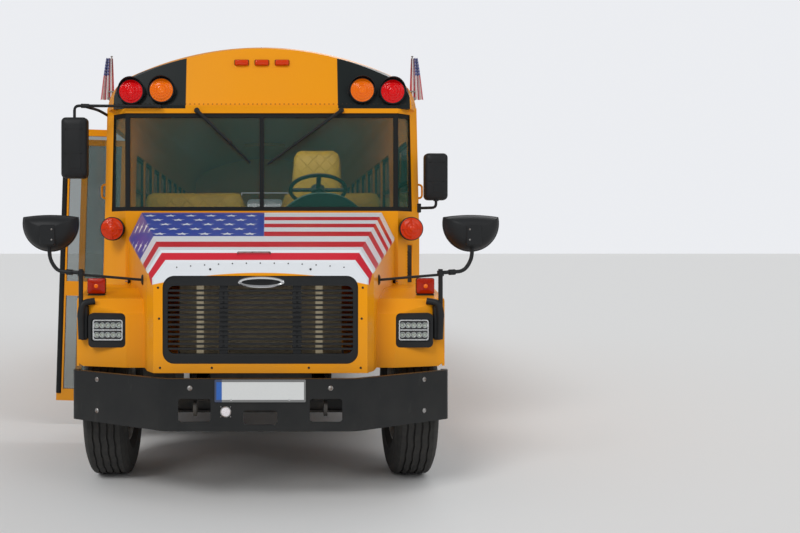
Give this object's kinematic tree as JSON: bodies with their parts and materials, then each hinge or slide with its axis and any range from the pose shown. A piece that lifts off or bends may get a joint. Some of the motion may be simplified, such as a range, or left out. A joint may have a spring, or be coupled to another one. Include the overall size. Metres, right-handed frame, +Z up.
{
  "type": "school bus",
  "caption": "Full-size school bus with a tilting hood, steered front wheels, twin rear wheels and opening doors.",
  "frame": {"origin": "on the ground at the middle of the bus, halfway between its mirrors' reach and its bumpers", "axes": "+Z up, -Y towards the front of the bus, +X towards the driver's side"},
  "size_m": [3.1558, 10.908, 3.1453],
  "materials": {
    "yellow_paint": "gloss",
    "black_paint": "satin",
    "chassis_paint": "satin",
    "black_plastic": "matte",
    "rubber_trim": "matte",
    "tyre_rubber": "matte",
    "wheel_steel": "satin",
    "tinted_glass": "polished",
    "sash_metal": "satin",
    "lens_mixed": "polished",
    "amber_lens": "polished",
    "lamp_clear": "polished",
    "seat_vinyl": "satin",
    "floor_rubber": "matte",
    "flag_cloth": "matte",
    "plate_metal": "satin",
    "stop_red": "gloss",
    "engine_iron": "satin",
    "radiator_metal": "satin"
  },
  "bodies": {
    "root": {"frame_rails": "chassis_paint", "cross_members": "chassis_paint", "engine_block": "engine_iron", "radiator": "radiator_metal", "front_bumper": "black_paint", "number_plate": "plate_metal", "rear_bumper": "black_paint", "front_axle": "chassis_paint", "rear_axle": "chassis_paint", "fuel_tank_and_battery_box": "chassis_paint", "exhaust": "chassis_paint", "body_floor": "floor_rubber", "entrance_steps": "floor_rubber", "left_wall": "yellow_paint", "right_wall": "yellow_paint", "roof": "yellow_paint", "front_cap": "yellow_paint", "cowl": "yellow_paint", "rear_wall": "yellow_paint", "windshield_frame": "rubber_trim", "windshield_glass": "tinted_glass", "body_glass": "tinted_glass", "window_sashes": "sash_metal", "rub_rails": "black_paint", "seat_cushions": "seat_vinyl", "seat_backs": "seat_vinyl", "driver_seat": "seat_vinyl", "dashboard": "black_plastic", "steering_wheel": "black_plastic", "warning_lamps_front": "lens_mixed", "rear_lamps": "lens_mixed", "signal_lamps": "amber_lens", "side_mirrors": "black_plastic", "wipers": "black_plastic", "roof_flags": "flag_cloth", "stop_arm_case": "black_paint"},
    "hood": {"hood": "yellow_paint", "grille": "black_plastic", "headlamps": "lamp_clear", "turn_lamps": "amber_lens", "cross_view_mirrors": "black_plastic"},
    "knuckle_left": {"knuckle_left": "chassis_paint"},
    "knuckle_right": {"knuckle_right": "chassis_paint"},
    "wheel_front_left": {"tyre_front_left": "tyre_rubber", "wheel_front_left": "wheel_steel"},
    "wheel_front_right": {"tyre_front_right": "tyre_rubber", "wheel_front_right": "wheel_steel"},
    "wheels_rear_left": {"tyres_rear_left": "tyre_rubber", "wheels_rear_left": "wheel_steel"},
    "wheels_rear_right": {"tyres_rear_right": "tyre_rubber", "wheels_rear_right": "wheel_steel"},
    "entrance_leaf_front": {"entrance_leaf_front": "yellow_paint", "entrance_glass_front": "tinted_glass"},
    "entrance_leaf_rear": {"entrance_leaf_rear": "yellow_paint", "entrance_glass_rear": "tinted_glass"},
    "rear_door": {"rear_door": "yellow_paint", "rear_door_glass": "tinted_glass"},
    "stop_arm": {"stop_arm": "stop_red"},
    "hatch_front": {"hatch_front": "yellow_paint"},
    "hatch_rear": {"hatch_rear": "yellow_paint"}
  },
  "joints": [
    {"name": "hood_tilt", "type": "hinge", "parent": "root", "child": "hood", "pos_m": [0, -5.265, 0.82], "axis": [1, 0, 0], "range_deg": [0, 70]},
    {"name": "steer_left", "type": "hinge", "parent": "root", "child": "knuckle_left", "pos_m": [0.85, -4.39, 0.525], "axis": [0, 0, 1], "range_deg": [-35, 35]},
    {"name": "steer_right", "type": "hinge", "parent": "root", "child": "knuckle_right", "pos_m": [-0.85, -4.39, 0.525], "axis": [0, 0, 1], "range_deg": [-35, 35]},
    {"name": "front_left_spin", "type": "hinge", "parent": "knuckle_left", "child": "wheel_front_left", "pos_m": [1.01, -4.39, 0.525], "axis": [1, 0, 0], "continuous": true},
    {"name": "front_right_spin", "type": "hinge", "parent": "knuckle_right", "child": "wheel_front_right", "pos_m": [-1.01, -4.39, 0.525], "axis": [1, 0, 0], "continuous": true},
    {"name": "rear_left_spin", "type": "hinge", "parent": "root", "child": "wheels_rear_left", "pos_m": [0.905, 2.01, 0.525], "axis": [1, 0, 0], "continuous": true},
    {"name": "rear_right_spin", "type": "hinge", "parent": "root", "child": "wheels_rear_right", "pos_m": [-0.905, 2.01, 0.525], "axis": [1, 0, 0], "continuous": true},
    {"name": "entrance_front", "type": "hinge", "parent": "root", "child": "entrance_leaf_front", "pos_m": [-1.236, -3.398, 0.33], "axis": [-0.0314, 0, -0.9995], "range_deg": [0, 90]},
    {"name": "entrance_rear", "type": "hinge", "parent": "root", "child": "entrance_leaf_rear", "pos_m": [-1.236, -2.596, 0.33], "axis": [0.0314, 0, 0.9995], "range_deg": [0, 90]},
    {"name": "rear_door_swing", "type": "hinge", "parent": "root", "child": "rear_door", "pos_m": [-0.372, 5.402, 1.74], "axis": [0, 0, 1], "range_deg": [0, 110]},
    {"name": "stop_arm_swing", "type": "hinge", "parent": "root", "child": "stop_arm", "pos_m": [1.242, -2.45, 1.4], "axis": [0, 0, -1], "range_deg": [0, 90]},
    {"name": "hatch_front_lift", "type": "hinge", "parent": "root", "child": "hatch_front", "pos_m": [0, -1.48, 3.1003], "axis": [1, 0, 0], "range_deg": [0, 60]},
    {"name": "hatch_rear_lift", "type": "hinge", "parent": "root", "child": "hatch_rear", "pos_m": [0, 2.62, 3.1003], "axis": [1, 0, 0], "range_deg": [0, 60]}
  ],
  "couplings": [
    {"joint": "steer_right", "follows": "steer_left", "ratio": 1},
    {"joint": "entrance_rear", "follows": "entrance_front", "ratio": 1}
  ]
}
